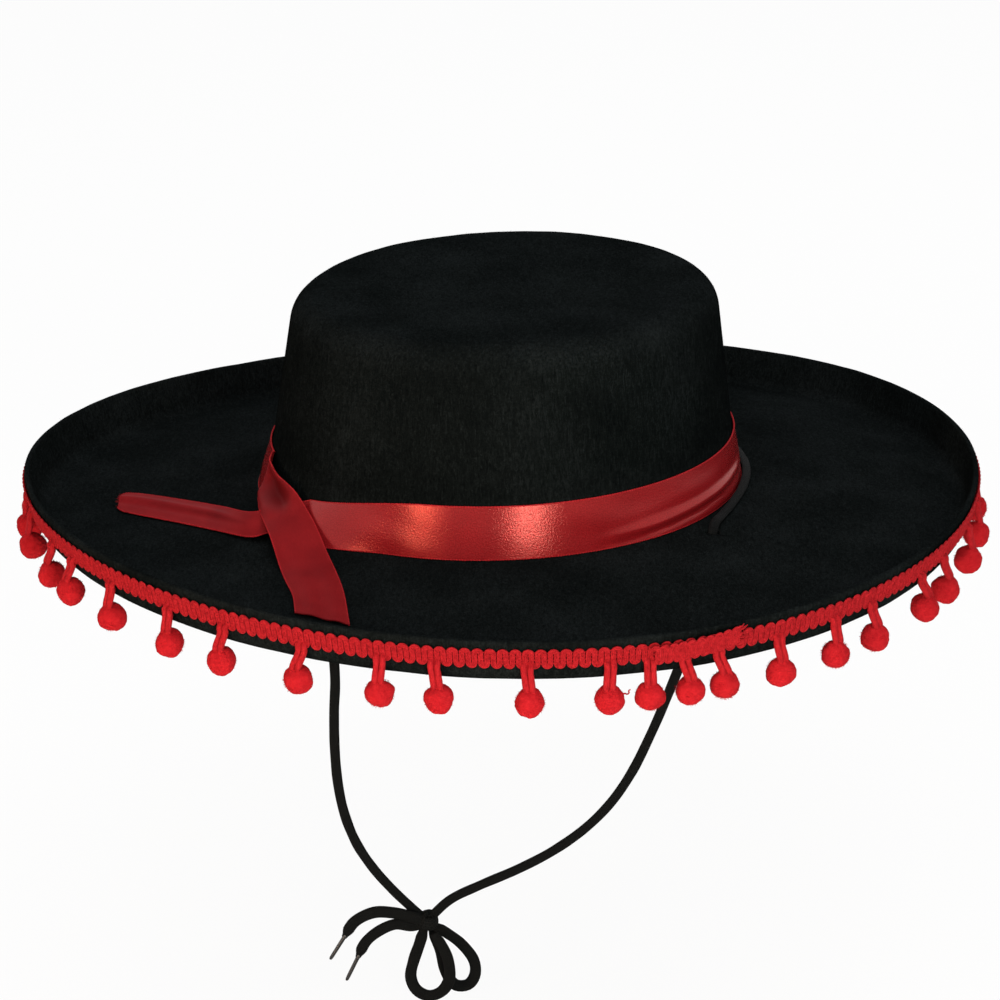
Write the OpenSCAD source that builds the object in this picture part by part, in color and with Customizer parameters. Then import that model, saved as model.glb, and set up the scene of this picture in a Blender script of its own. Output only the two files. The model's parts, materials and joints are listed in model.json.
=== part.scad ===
// Wide-brimmed felt hat with a turned-up rim, a satin ribbon round the crown, a braid
// with hanging pompoms round the rim, and a chin lace tied in a bow. Millimetres.
// The origin is the middle of the head opening, level with the underside of the brim
// where it meets the crown. +Z is up and -Y is the front.

/* [Crown] */
// Outside width of the crown where it meets the brim
crown_w = 189; // [165:1:215]
// Outside depth of the crown where it meets the brim
crown_d = 196; // [170:1:222]
// Width of the flat crown top, measured before its edge is rounded
top_w = 167; // [140:1:185]
// Depth of the flat crown top, measured before its edge is rounded
top_d = 180; // [150:1:195]
// Height of the crown top above the underside of the brim
crown_h = 82; // [65:1:110]
// Outside radius of the rounded edge round the crown top
crown_edge_r = 12; // [6:1:20]
// How far the crown top sits to the right of the crown's foot
crown_lean = 4; // [0:0.5:8]
// Thickness of the felt
felt_t = 2; // [1.6:0.1:2.6]

/* [Brim] */
// Width of the hat over the rim, side to side
brim_w = 380; // [320:2:460]
// Depth of the hat over the rim, front to back
brim_d = 380; // [320:2:460]
// How far the brim falls between the crown and the bend of the rim
brim_drop = 10; // [4:1:16]
// Height of the rim's edge above the bend
rim_h = 17; // [16:0.5:26]
// Angle of the rim's wall from level
rim_angle = 77; // [70:1:85]
// Radius of the bend between the brim and the rim, at the middle of the felt
rim_bend_r = 5.6; // [4:0.2:7]
// How far the rim's sides ride up, and its front and back down
rim_swoop = 4.2; // [0:0.2:8]
// How far the rim's left side rides up, and its right side down
rim_tilt = 5; // [0:0.5:8]
// How much fuller the right half of the brim is, as a share of its depth
rim_skew = 0.08; // [0:0.01:0.1]

/* [Ribbon] */
// Width of the satin ribbon
ribbon_w = 19.5; // [14:0.5:24]
// Thickness of the satin ribbon
ribbon_t = 0.5; // [0.3:0.1:0.8]

/* [Trim] */
// Height of the braid round the rim
braid_h = 8.5; // [6:0.5:9]
// Thickness of the braid
braid_t = 2; // [1:0.1:2.6]
// Distance from the rim's edge down to the braid
braid_inset = 2.2; // [1:0.1:2.5]
// Diameter of a pompom
pompom_d = 11; // [8:0.5:12]
// Distance from the braid's lower edge down to the middle of a pompom
pompom_drop = 11.3; // [9:0.1:14]
// Diameter of each strand of a pompom's thread loop
thread_d = 1.5; // [1:0.1:2]
// How far a pompom hangs aside from its thread loop's root, at most
pompom_sway = 4; // [0:0.5:5]

/* [Lace] */
// Diameter of the chin lace
lace_d = 3.6; // [2.5:0.1:4]
// Diameter of the lace holes in the brim
lace_hole_d = 6; // [5:0.5:8]
// Diameter of the lace's end tips
aglet_d = 1.6; // [1.2:0.1:2.4]
// Length of the lace's end tips
aglet_len = 11; // [8:1:16]
// Diameter of the bow's knot
knot_d = 9.5; // [8.5:0.5:12]

/* [Sweatband] */
// Height of the sweatband inside the crown
sweatband_h = 28; // [20:1:40]
// Thickness of the sweatband
sweatband_t = 1; // [0.6:0.1:1.6]

/* [Hidden] */
$fn = 32;
// Gap between pieces that lie against each other
gap = 0.3;
// Steps round the hat
turns = 64;

// Middle of the felt, as the half-width and height of five corners from crown top to rim edge
z_top = crown_h - felt_t / 2;
z_foot = felt_t / 2;
foot_half = (crown_w - felt_t) / 2;
top_half = (top_w - felt_t) / 2;
rim_half = (brim_w - felt_t * sin(rim_angle)) / 2;
bend_z = z_foot - brim_drop;
top_corner = [top_half, z_top];
foot_corner = [foot_half, z_foot];
bend_corner = [rim_half - rim_h / tan(rim_angle), bend_z];
rim_edge = [rim_half, bend_z + rim_h];
wall_angle = atan2(z_foot - z_top, foot_half - top_half);
brim_angle = atan2(bend_z - z_foot, bend_corner[0] - foot_half);
// Radius of the crease between crown and brim, on the outside
foot_r = 1;
// How much deeper than wide the half-plan is at the top, the foot and the rim
top_extra = (top_d - top_w) / 2;
foot_extra = (crown_d - crown_w) / 2;
rim_extra = (brim_d - brim_w) / 2;

// Lace round the crown: steps of its path, and how far its straight steps cut in between them
lace_step = 13;
lace_sag = foot_half * (1 - cos(lace_step / 2));
lace_out = gap + lace_d / 2 + lace_sag;
lace_z = felt_t + gap + lace_d / 2;

// Ribbon: height of its lower edge on the crown, and how far the lace beneath pushes it out
ribbon_z = felt_t + foot_r + 0.2;
ribbon_lift = lace_d + lace_sag + gap;
// The ribbon runs on the crown between these angles, round the back
ribbon_from = -134;
ribbon_to = 192;
ribbon_steps = 54;

// Braid: its section as distance down the rim's wall and distance out from the felt
braid_low = braid_inset + braid_h;
braid_section = [
    [braid_inset, gap], [braid_low, gap], [braid_low, gap + braid_t * 0.7],
    [braid_low - 1.4, gap + braid_t], [braid_inset + 1.4, gap + braid_t],
    [braid_inset, gap + braid_t * 0.7]
];
// The braid's free end lies over its start between these angles and rises by this much
overlap_from = -76;
overlap_to = -66;
overlap_steps = 6;
overlap_rise = 3.5;
overlap_t = 1.4;

// Pompoms: angles of those along the front, then evenly spaced round the back
front_angles = [
    178, 185, 193, 204, 210, 219, 229, 237, 247, 256, 262, 272,
    281, 285.4, 289.4, 293.4, 301, 309, 315, 325, 331, 341, 349, 357
];
back_count = 20;
back_step = (front_angles[0] + 360 - front_angles[len(front_angles) - 1]) / (back_count + 1);
back_angles = [for (i = [1:back_count]) (front_angles[len(front_angles) - 1] + i * back_step) % 360];
pompom_angles = concat(front_angles, back_angles);
// Half the spread of the thread loop at its root, and the root's place on the rim's wall
loop_half = 1.1;
root_down = braid_low + gap + thread_d / 2;
root_out = gap + braid_t * 0.75;

// Lace holes in the brim, right and left, the radius at which the lace turns down into
// them, and how much higher than its lie it arches there
lace_holes = [[80, -72], [-76, -79]];
lace_bend_r = 2 * lace_d;
lace_arch = 1.2;
// The legs of the lace hinge on this line under the brim
lace_hinge_z = -4.6;
lace_hinge = [[79.8, -72.7, lace_hinge_z], [-75.9, -79.7, lace_hinge_z]];
// Each leg from its hinge to the knot, as x and z in the plane that hangs from the hinge line
left_leg = [
    [-74.5, -14], [-70.5, -26], [-67.5, -39], [-67, -52], [-68, -65], [-68.5, -80], [-68, -95],
    [-66, -108.5], [-62, -121], [-56, -132], [-49, -141.5], [-42.5, -149], [-36.5, -155.5]
];
right_leg = [
    [77, -22], [70, -44], [61, -67], [54, -83], [47, -97], [38.5, -109.5], [28, -120],
    [15, -129], [1, -136], [-14, -142], [-26, -147.5], [-35, -155.5]
];
// Each tail from the knot to its tip, as x, z and distance forward of that plane
upper_tail = [[-42, -152.5, 3], [-49, -150, 4], [-56.5, -149.5, 4], [-64, -153, 4], [-68.5, -159.5, 4]];
lower_tail = [[-41.5, -157.5, 1], [-48, -155.5, 3], [-54.5, -157.5, 4], [-60, -162, 4], [-63.5, -168.5, 4]];
// Each loop of the bow, from the knot round to the knot
left_loop = [
    [-37, -160, -1], [-39, -166, 0], [-41.5, -172.5, 1], [-43, -179, 2], [-41, -184.5, 3],
    [-36, -187, 4], [-30.5, -185, 4], [-27.5, -179, 4], [-28.5, -169.5, 4], [-33, -160.5, 3]
];
right_loop = [
    [-33.5, -158.5, -1], [-28, -163, -2], [-22.5, -168.5, -3], [-18, -175.5, -3],
    [-17.5, -182, -3], [-20.5, -186.5, -3], [-26, -186, -3], [-29.5, -179, -3],
    [-31, -170.5, -3], [-34, -161, -4]
];
knot_at = [-35.5, -156];

pompom_names = [for (i = [1:len(pompom_angles)]) str("pompom_", i < 10 ? "0" : "", i)];

function unit(v) = v / norm(v);
function mix(a, b, k) = a + (b - a) * k;
function clamp(k) = max(0, min(1, k));
function ease(k) = let (c = clamp(k)) c * c * (3 - 2 * c);

// Points round a corner p of a profile, where its heading turns from a to b with radius r.
// Each is [half-width, height, heading].
function corner(p, a, b, r, n) =
    let (
        s = sign(b - a),
        start = p - r * tan(abs(b - a) / 2) * [cos(a), sin(a)],
        centre = start + r * s * [-sin(a), cos(a)]
    )
    [for (i = [0:n]) let (d = mix(a, b, i / n)) [each centre - r * s * [-sin(d), cos(d)], d]];

// Points along a straight stretch of a profile
function straight(p, q, heading, shares) = [for (k = shares) [each mix(p, q, k), heading]];

// Middle of the felt from near the crown's centre to the rim's edge
felt_profile = concat(
    [[top_half * 0.4, z_top, 0]],
    corner(top_corner, 0, wall_angle, crown_edge_r - felt_t / 2, 6),
    straight(top_corner, foot_corner, wall_angle, [0.35, 0.6, 0.8]),
    corner(foot_corner, wall_angle, brim_angle, foot_r + felt_t / 2, 3),
    straight(foot_corner, bend_corner, brim_angle, [0.15, 0.3, 0.45, 0.6, 0.75]),
    corner(bend_corner, brim_angle, rim_angle, rim_bend_r, 6),
    straight(bend_corner, rim_edge, rim_angle, [0.65, 1])
);

// How far out on the brim a half-width is: 0 at the crown, 1 at the rim
function brim_share(w) = max(0, (w - foot_half) / (rim_half - foot_half));

// How far up the crown a height is: 0 on the brim, 1 at the crown top
function crown_share(w, z) = brim_share(w) > 0.1 ? 0 : clamp((z - z_foot) / (z_top - z_foot));

// How far the brim rides up or down at share u and angle t
function brim_ride(u, t) = u * u * (rim_swoop * cos(2 * t) - rim_tilt * cos(t));

// A point of the felt: p is [half-width, height, heading], off is the distance from the
// middle of the felt on its upper side, t is the angle round the hat
function felt_point(p, off, t) =
    let (
        u = brim_share(p[0]),
        v = crown_share(p[0], p[1]),
        w = p[0] - sin(p[2]) * off,
        extra = foot_extra + (top_extra - foot_extra) * v + (rim_extra - foot_extra) * u
    )
    [
        w * cos(t) + crown_lean * v,
        (w + extra) * sin(t) * (1 + rim_skew * u * cos(t)),
        p[1] + cos(p[2]) * off + brim_ride(u, t)
    ];

// A point on the crown's wall at height z, off away from the felt's outside
function wall_point(t, z, off) =
    let (v = (z - z_foot) / (z_top - z_foot))
    felt_point([mix(foot_half, top_half, v), z, -90], felt_t / 2 + off, t);

// A point on the rim's wall, down from its edge and out from the felt's outside
function rim_point(down, out, t) =
    felt_point([each rim_edge - down * [cos(rim_angle), sin(rim_angle)], rim_angle],
        -felt_t / 2 - out, t);

// Plan of the brim at angle t and share u, and the search for t and u below a point
function brim_plan(t, u) =
    let (w = mix(foot_half, rim_half, u), extra = mix(foot_extra, rim_extra, u))
    [w * cos(t), (w + extra) * sin(t) * (1 + rim_skew * u * cos(t))];
function brim_find(p, t, n) =
    let (
        near = norm(brim_plan(t, 0)),
        far = norm(brim_plan(t, 1)),
        u = (norm(p) - near) / (far - near)
    )
    n == 0 ? [t, u]
        : let (
            q = brim_plan(t, u),
            slip = atan2(p[1] * q[0] - p[0] * q[1], p * q)
        )
        brim_find(p, t + slip, n - 1);

// A point over the brim at x and y, lift above the felt
function brim_point(x, y, lift) =
    let (
        f = brim_find([x, y], atan2(y, x), 5),
        out = (mix(foot_half, rim_half, f[1]) - foot_half) / (bend_corner[0] - foot_half)
    )
    [x, y, mix(z_foot, bend_z, out) + brim_ride(f[1], f[0]) + felt_t / 2 + lift];

// Faces between n rings of m points, up to the ring named last. The two sides of a twisted
// strip are split along the same diagonals, so that it keeps its thickness.
function band_faces(n, m, last) = [
    for (i = [0:last], j = [0:m - 1])
        let (a = i * m, b = ((i + 1) % n) * m, k = (j + 1) % m)
        each j < m / 2
            ? [[a + j, b + j, b + k], [a + j, b + k, a + k]]
            : [[a + j, b + j, a + k], [b + j, b + k, a + k]]
];
// A solid through rings of points: an open run with both ends closed, or a closed loop
module run(rings) {
    n = len(rings);
    m = len(rings[0]);
    polyhedron(
        points = [for (r = rings) each r],
        faces = concat(
            [[for (j = [0:m - 1]) j]],
            band_faces(n, m, n - 2),
            [[for (j = [m - 1:-1:0]) (n - 1) * m + j]]
        ),
        convexity = 10
    );
}
module loop(rings) {
    n = len(rings);
    m = len(rings[0]);
    polyhedron(points = [for (r = rings) each r], faces = band_faces(n, m, n - 1), convexity = 10);
}

// A strip of ribbon through pairs of edge points, thickened on the side away from the hat
module strip(pairs, t) {
    n = len(pairs);
    run([
        for (i = [0:n - 1])
            let (
                a = pairs[i][0],
                b = pairs[i][1],
                before = pairs[max(0, i - 1)],
                after = pairs[min(n - 1, i + 1)],
                ahead = after[0] + after[1] - before[0] - before[1],
                face = t * unit(cross(ahead, b - a))
            )
            [a, a + face, b + face, b]
    ]);
}

// A round cord along a path, with the given radius at each point
function heading(path, i) =
    unit(path[min(len(path) - 1, i + 1)] - path[max(0, i - 1)]);
function cord_rings(path, radii, side, i = 0) =
    i == len(path) ? []
        : let (
            t = heading(path, i),
            a = unit(side - (side * t) * t),
            b = cross(t, a)
        )
        [
            [for (k = [0:7]) path[i] + radii[i] * (a * cos(k * 45) - b * sin(k * 45))],
            each cord_rings(path, radii, a, i + 1)
        ];
module cord(path, radii, side) run(cord_rings(path, radii, side));

// A round rod between two points
module rod(a, b, d) {
    v = b - a;
    translate(a)
        rotate([0, acos(v[2] / norm(v)), atan2(v[1], v[0])])
            cylinder(h = norm(v), d = d);
}

module felt_body() {
    upper = [for (p = felt_profile) [for (i = [0:turns - 1]) felt_point(p, felt_t / 2, i * 360 / turns)]];
    under = [for (p = felt_profile) [for (i = [0:turns - 1]) felt_point(p, -felt_t / 2, i * 360 / turns)]];
    color("#17181a")
        difference() {
            run(concat(upper, [for (i = [len(under) - 1:-1:0]) under[i]]));
            for (h = lace_holes)
                translate([h[0], h[1], z_foot - brim_drop])
                    cylinder(h = 2 * brim_drop, d = lace_hole_d);
        }
}

module sweatband() {
    low = felt_t + 2;
    color("#2a2a2c")
        loop([
            for (i = [0:turns - 1])
                let (
                    t = i * 360 / turns,
                    inside = -felt_t - gap,
                    high = low + sweatband_h
                )
                [
                    wall_point(t, low, inside), wall_point(t, high, inside),
                    wall_point(t, high, inside - sweatband_t), wall_point(t, low, inside - sweatband_t)
                ]
        ]);
}

// How far the ribbon's lower edge stands off the crown: the lace lies beneath it from the
// right side round the back to the left
function ribbon_off(t) = gap + ribbon_lift * ease((t + 48) / 28);
// Height of the ribbon's lower edge: it is raised at the crossing, and where the lace comes out
function ribbon_low(t) =
    ribbon_z + 2.2 * ease((-126 - t) / 8) + 3 * ease((t + 60) / 20) - 1.4 * ease((t + 20) / 15);
// The ribbon's upper edge dips as it nears the crossing at the front left
function ribbon_top(t) = ribbon_z + ribbon_w - 4 * ease((-105 - t) / 30);
ribbon_band_edges = concat(
    [
        [[-96.5, -59.5, 3.4], [-98, -40.5, 3.6]],
        [[-90, -63.5, 4], [-92, -45.5, 5]],
        [[-83.5, -66.5, 6.4], [-85.5, -52.5, 8.2]],
        [wall_point(-140, 6.6, 2.2), wall_point(-143, 13.5, 1.2)]
    ],
    [
        for (i = [0:ribbon_steps])
            let (t = mix(ribbon_from, ribbon_to, i / ribbon_steps))
            [wall_point(t, ribbon_low(t), ribbon_off(t)), wall_point(t, ribbon_top(t), gap)]
    ]
);
module ribbon_band() {
    color("#b3202a")
        strip(ribbon_band_edges, ribbon_t);
}

// The ribbon's other end crosses over the first and comes down on the brim in front
crossing_edges = [
    [[-96.8, -23, 5], wall_point(193.5, 20.6, 1.2)],
    [[-96, -33, 5.4], [-87.8, -36.8, 18.4]],
    [[-94.5, -47, 6.6], [-84.5, -46.7, 16.6]],
    [[-91.5, -62, 8], [-80.3, -57.4, 15]],
    [[-87.5, -77, 6.6], [-73.2, -70.4, 9]],
    [brim_point(-85, -90, 1.2), brim_point(-67.5, -84, 1.4)]
];
module ribbon_crossing() {
    color("#a51d26")
        strip(crossing_edges, ribbon_t);
}

module ribbon_tail_left() {
    color("#b3202a")
        strip([
            [brim_point(-154.5, -20.5, 0.6), brim_point(-150, -4, 0.6)],
            [brim_point(-141, -30, 0.6), brim_point(-137, -12, 0.6)],
            [brim_point(-124, -42.5, 0.8), brim_point(-122, -23.5, 0.8)],
            [brim_point(-109, -52, 1.2), brim_point(-109, -33, 1.4)],
            [[-97.8, -58.8, 3.3], [-99.2, -39.8, 3.5]]
        ], ribbon_t);
}

module ribbon_tail_front() {
    color("#b3202a")
        strip([
            [brim_point(-84.6, -91.6, 1.1), brim_point(-67.2, -85.6, 1.3)],
            [brim_point(-81.8, -105, 0.6), brim_point(-63.4, -102, 0.6)],
            [brim_point(-79, -119, 0.6), brim_point(-60.2, -120, 0.6)],
            [brim_point(-77.6, -133, 0.6), brim_point(-57.6, -145, 0.6)]
        ], ribbon_t);
}

module braid() {
    color("#c4202b")
        loop([
            for (i = [0:turns - 1])
                [for (s = braid_section) rim_point(s[0], s[1], i * 360 / turns)]
        ]);
}

module braid_end() {
    out = 2 * gap + braid_t;
    color("#c4202b")
        run([
            for (i = [0:overlap_steps])
                let (
                    k = i / overlap_steps,
                    t = mix(overlap_from, overlap_to, k),
                    up = overlap_rise * k * k
                )
                [
                    rim_point(braid_inset - up, out, t),
                    rim_point(braid_inset - up, out + overlap_t, t),
                    rim_point(braid_low - up, out + overlap_t, t),
                    rim_point(braid_low - up, out, t)
                ]
        ]);
}

// The lace from a hole up over the brim: an arc that ends just under the felt
function hole_arc(hole, way, n) =
    let (
        drop = lace_bend_r,
        top = brim_point(hole[0], hole[1], 0)[2] + gap + lace_d / 2 + lace_arch,
        back = lace_bend_r * sin(62)
    )
    [
        for (i = [0:n])
            let (a = 78 * (1 - i / n))
            [
                hole[0] + way[0] * (lace_bend_r * sin(a) - back),
                hole[1] + way[1] * (lace_bend_r * sin(a) - back),
                top - drop * (1 - cos(a))
            ]
    ];
lace_crown_path = concat(
    hole_arc(lace_holes[0], unit([-7, -20]), 4),
    [[87.2, -52, lace_z], [92, -36, lace_z]],
    [for (t = [-14:lace_step:194]) wall_point(t, lace_z, lace_out)],
    [[-86.5, -49, lace_z], [-81.5, -59, lace_z]],
    [for (i = [0:4]) hole_arc(lace_holes[1], unit([4, -20]), 4)[4 - i]]
);
module lace_round_crown() {
    color("#1c1c1e")
        cord(lace_crown_path, [for (p = lace_crown_path) lace_d / 2], [0, 0, 1]);
}

// The plane that hangs from the hinge line, and a leg with its rounded top on that line
function hang(x, z, forward = 0) =
    let (a = lace_hinge[0], b = lace_hinge[1])
    [x, mix(a[1], b[1], (x - a[0]) / (b[0] - a[0])) - forward, z];
function leg_path(top, leg, tail) = concat(
    [for (a = [70, 45]) top + [0, 0, lace_d / 2 * sin(a)]],
    [top],
    [for (p = leg) hang(p[0], p[1])],
    [for (p = tail) hang(p[0], p[1], p[2])]
);
function leg_radii(n) = [
    for (i = [0:n - 1])
        lace_d / 2 * (i == 0 ? cos(70) : i == 1 ? cos(45) : i == n - 1 ? 0.5 : 1)
];
left_path = leg_path(lace_hinge[1], left_leg, upper_tail);
right_path = leg_path(lace_hinge[0], right_leg, lower_tail);

module lace_left() {
    color("#1c1c1e")
        cord(left_path, leg_radii(len(left_path)), [0, 1, 0]);
}

module lace_right() {
    color("#1c1c1e")
        cord(right_path, leg_radii(len(right_path)), [0, 1, 0]);
}

module bow_loops() {
    color("#1c1c1e")
        for (l = [left_loop, right_loop])
            cord([for (p = l) hang(p[0], p[1], p[2])], [for (p = l) lace_d / 2], [0, 1, 0]);
}

module bow_knot() {
    color("#161618")
        translate(hang(knot_at[0], knot_at[1]))
            rotate([0, 35, 0]) {
                sphere(d = knot_d);
                rotate_extrude()
                    translate([knot_d / 2 - lace_d * 0.3, 0])
                        circle(d = lace_d * 0.9);
            }
}

module aglet(path) {
    n = len(path);
    way = unit(path[n - 1] - path[n - 2]);
    color("#0f0f10")
        rod(path[n - 1], path[n - 1] + way * aglet_len, aglet_d);
}
module aglet_left() aglet(left_path);
module aglet_right() aglet(right_path);

// The point that a pompom's thread loop hangs from, and its level direction along the rim
function pompom_root(t) = rim_point(root_down, root_out, t);
function pompom_along(t) =
    let (d = pompom_root(t + 0.5) - pompom_root(t - 0.5))
    unit([d[0], d[1], 0]);

// A pompom on its loop of thread. It hangs plumb below the rim and leans along it, away
// from the front, by an uneven amount.
module pompom(index) {
    t = pompom_angles[index];
    root = pompom_root(t);
    along = pompom_along(t);
    lean = pompom_sway * (0.65 * cos(t) + 0.35 * sin(80 * index));
    ball = root + along * lean - [0, 0, pompom_drop];
    neck = ball + (root - ball) * 0.35;
    color("#c4202b") {
        translate(ball)
            rotate([0, 90, t])
                sphere(d = pompom_d);
        for (s = [-1, 1])
            rod(root + along * s * loop_half, neck + along * s * thread_d * 0.45, thread_d * 0.9);
        rod(root - along * (loop_half + thread_d / 2), root + along * (loop_half + thread_d / 2), thread_d);
    }
}

felt_body();
sweatband();
ribbon_band();
ribbon_crossing();
ribbon_tail_left();
ribbon_tail_front();
braid();
braid_end();
lace_round_crown();
lace_left();
lace_right();
bow_loops();
bow_knot();
aglet_left();
aglet_right();
for (i = [0:len(pompom_angles) - 1])
    pompom(i);
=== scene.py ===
"""Black felt hat with a turned-up rim, a satin ribbon, a braid with pompoms and a chin lace.

Everything is in metres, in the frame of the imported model: the origin is the middle of the
head opening, +Z is up and -Y is the front.
"""

import json
import math

import bmesh
import bpy
import numpy as np
from mathutils import Matrix, Vector, noise


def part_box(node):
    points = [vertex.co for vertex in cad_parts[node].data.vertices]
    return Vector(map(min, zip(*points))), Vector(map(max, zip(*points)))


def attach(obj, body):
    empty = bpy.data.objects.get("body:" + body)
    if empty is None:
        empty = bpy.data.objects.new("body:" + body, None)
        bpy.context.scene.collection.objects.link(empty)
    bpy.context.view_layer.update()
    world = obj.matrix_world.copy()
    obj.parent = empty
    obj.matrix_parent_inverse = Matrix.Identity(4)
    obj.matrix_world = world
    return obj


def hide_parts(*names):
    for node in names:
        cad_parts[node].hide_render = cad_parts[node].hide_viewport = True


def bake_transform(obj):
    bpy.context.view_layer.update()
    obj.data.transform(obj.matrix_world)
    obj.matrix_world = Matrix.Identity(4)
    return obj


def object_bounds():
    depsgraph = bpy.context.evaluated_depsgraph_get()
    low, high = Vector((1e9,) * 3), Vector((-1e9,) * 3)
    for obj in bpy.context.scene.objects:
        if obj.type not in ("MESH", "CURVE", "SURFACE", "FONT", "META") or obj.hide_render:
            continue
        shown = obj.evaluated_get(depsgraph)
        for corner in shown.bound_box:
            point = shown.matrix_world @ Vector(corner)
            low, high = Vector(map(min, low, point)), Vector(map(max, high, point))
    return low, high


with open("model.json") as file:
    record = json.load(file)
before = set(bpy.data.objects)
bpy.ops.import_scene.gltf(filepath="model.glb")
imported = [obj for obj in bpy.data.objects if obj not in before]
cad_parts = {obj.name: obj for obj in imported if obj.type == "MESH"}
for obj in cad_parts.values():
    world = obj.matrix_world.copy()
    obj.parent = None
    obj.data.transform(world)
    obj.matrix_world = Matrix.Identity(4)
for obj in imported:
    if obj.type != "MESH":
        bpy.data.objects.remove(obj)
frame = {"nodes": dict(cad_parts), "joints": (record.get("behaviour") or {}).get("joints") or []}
cad_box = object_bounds()
MM = 0.001

# ---- sizes

felt_low, felt_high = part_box("felt_body")
FELT = 2 * MM
GAP = 0.3 * MM
CROWN_H = felt_high.z
RIM_SIZE = felt_high.x - felt_low.x
RIM_ANGLE = math.radians(77)
RIM_H = 17 * MM
RIM_BEND_R = 5.6 * MM
BRIM_DROP = 10 * MM
RIM_SWOOP, RIM_TILT, RIM_SKEW = 4.2 * MM, 5 * MM, 0.08
CROWN_W, CROWN_D = 189 * MM, 196 * MM
TOP_W, TOP_D = 167 * MM, 180 * MM
CROWN_EDGE_R, CROWN_FOOT_R, CROWN_LEAN = 12 * MM, 1 * MM, 4 * MM

RIBBON_T = 0.45 * MM
LACE_W, LACE_T = 3.6 * MM, 1.9 * MM
LEG_W, BOW_W = 3.9 * MM, 4.7 * MM
LACE_HOLE_R = 3 * MM

# Middle of the felt, as half-width and height of its corners
Z_TOP, Z_FOOT = CROWN_H - FELT / 2, FELT / 2
FOOT_HALF, TOP_HALF = (CROWN_W - FELT) / 2, (TOP_W - FELT) / 2
RIM_HALF = (RIM_SIZE - FELT * math.sin(RIM_ANGLE)) / 2
BEND_Z = Z_FOOT - BRIM_DROP
TOP_CORNER = np.array([TOP_HALF, Z_TOP])
FOOT_CORNER = np.array([FOOT_HALF, Z_FOOT])
BEND_CORNER = np.array([RIM_HALF - RIM_H / math.tan(RIM_ANGLE), BEND_Z])
RIM_EDGE = np.array([RIM_HALF, BEND_Z + RIM_H])
FOOT_EXTRA, TOP_EXTRA = (CROWN_D - CROWN_W) / 2, (TOP_D - TOP_W) / 2
DOWN = -math.pi / 2
UP = np.array([0, 0, 1.0])

rng = np.random.default_rng(7)


# ---- the hat's shape


def ease(k):
    k = np.clip(k, 0, 1)
    return k * k * (3 - 2 * k)


def mix(a, b, k):
    return a + (b - a) * k


def unit(v):
    v = np.asarray(v, float)
    return v / np.maximum(np.linalg.norm(v, axis=-1, keepdims=True), 1e-12)


def felt_point(w, z, heading, off, t):
    """A point of the felt: w is the half-width, off the distance from the middle of the felt
    on its upper side, t the angle round the hat in radians. All may be arrays."""
    u = np.maximum(0, (w - FOOT_HALF) / (RIM_HALF - FOOT_HALF))
    v = np.where(u > 0.1, 0, np.clip((z - Z_FOOT) / (Z_TOP - Z_FOOT), 0, 1))
    half = w - np.sin(heading) * off
    extra = FOOT_EXTRA + (TOP_EXTRA - FOOT_EXTRA) * v - FOOT_EXTRA * u
    ride = u * u * (RIM_SWOOP * np.cos(2 * t) - RIM_TILT * np.cos(t))
    x = half * np.cos(t) + CROWN_LEAN * v
    y = (half + extra) * np.sin(t) * (1 + RIM_SKEW * u * np.cos(t))
    return np.stack(np.broadcast_arrays(x, y, z + np.cos(heading) * off + ride), axis=-1)


def wall_point(t, z, off):
    """A point on the crown's wall at height z, off away from the felt's outside."""
    w = mix(FOOT_HALF, TOP_HALF, (z - Z_FOOT) / (Z_TOP - Z_FOOT))
    return felt_point(w, z, DOWN, FELT / 2 + off, t)


def rim_point(down, out, t):
    """A point on the rim's wall, down from its edge and out from the felt's outside."""
    w = RIM_EDGE[0] - down * math.cos(RIM_ANGLE)
    z = RIM_EDGE[1] - down * math.sin(RIM_ANGLE)
    return felt_point(w, z, RIM_ANGLE, -FELT / 2 - out, t)


def brim_plan(t, u):
    w, extra = mix(FOOT_HALF, RIM_HALF, u), mix(FOOT_EXTRA, 0, u)
    return np.array([w * math.cos(t), (w + extra) * math.sin(t) * (1 + RIM_SKEW * u * math.cos(t))])


def brim_point(x, y, lift):
    """A point over the brim at x and y, lift above the felt."""
    p, t = np.array([x, y]), math.atan2(y, x)
    for _ in range(6):
        near, far = np.linalg.norm(brim_plan(t, 0)), np.linalg.norm(brim_plan(t, 1))
        u = (np.linalg.norm(p) - near) / (far - near)
        q = brim_plan(t, u)
        t += math.atan2(p[1] * q[0] - p[0] * q[1], p @ q)
    out = (mix(FOOT_HALF, RIM_HALF, u) - FOOT_HALF) / (BEND_CORNER[0] - FOOT_HALF)
    ride = u * u * (RIM_SWOOP * math.cos(2 * t) - RIM_TILT * math.cos(t))
    return np.array([x, y, mix(Z_FOOT, BEND_Z, out) + ride + FELT / 2 + lift])


def mm(*p):
    """A point given in millimetres."""
    return np.array(p) * MM


def brim_mm(x, y, lift):
    return brim_point(x * MM, y * MM, lift * MM)


def corner(p, a, b, r, n):
    """Points and headings round a corner p, where the heading turns from a to b with radius r."""
    s = math.copysign(1, b - a)
    start = p - r * math.tan(abs(b - a) / 2) * np.array([math.cos(a), math.sin(a)])
    centre = start + r * s * np.array([-math.sin(a), math.cos(a)])
    turn = np.linspace(a, b, n)
    ends = centre - r * s * np.stack([-np.sin(turn), np.cos(turn)], axis=1)
    return [(*e, d) for e, d in zip(ends, turn)]


def straight(p, q, heading, n):
    """Points strictly between p and q."""
    return [(*mix(p, q, k), heading) for k in np.linspace(0, 1, n + 2)[1:-1]]


# ---- mesh building


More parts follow.
